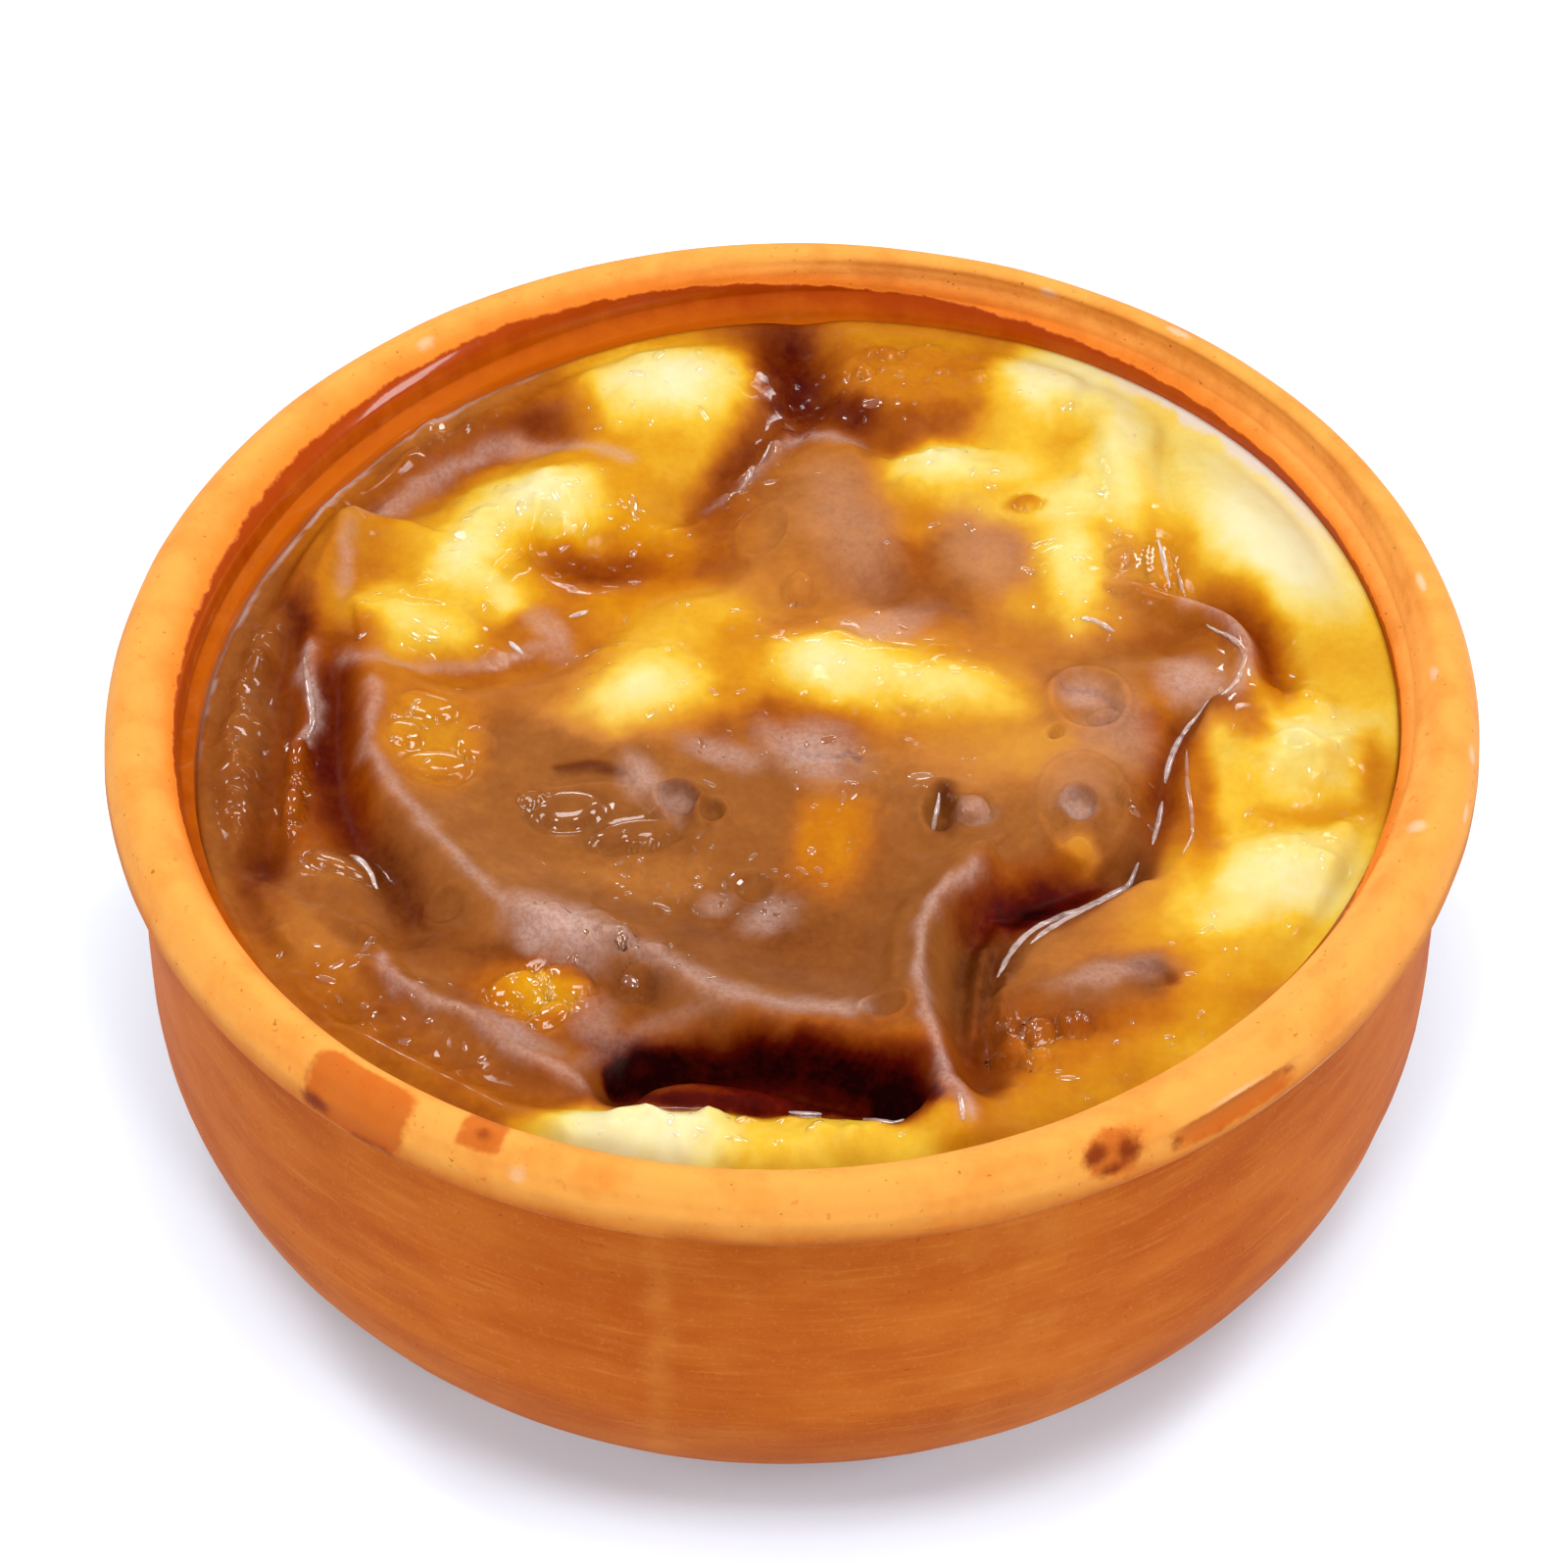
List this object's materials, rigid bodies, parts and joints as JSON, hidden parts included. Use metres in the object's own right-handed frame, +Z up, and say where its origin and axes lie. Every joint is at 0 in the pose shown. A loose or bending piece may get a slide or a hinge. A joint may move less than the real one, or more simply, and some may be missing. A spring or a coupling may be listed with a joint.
{
  "type": "baked rice pudding",
  "caption": "Individual baked rice pudding with a wrinkled caramelised skin, in its round rolled-rim terracotta dish.",
  "frame": {"origin": "middle of the dish's flat foot, on the surface it stands on", "axes": "+Z up; +Y away from the viewer, towards the rim opposite the front; +X to the viewer's right"},
  "size_m": [0.1148, 0.1152, 0.0474],
  "materials": {
    "terracotta": "matte fired clay, with a thin glossy brown glaze on the inside wall",
    "pudding_skin": "wet caramelised milk skin, from pale cream through yellow and amber to dark brown"
  },
  "bodies": {
    "root": {"dish": "terracotta", "pudding": "pudding_skin"}
  },
  "joints": []
}
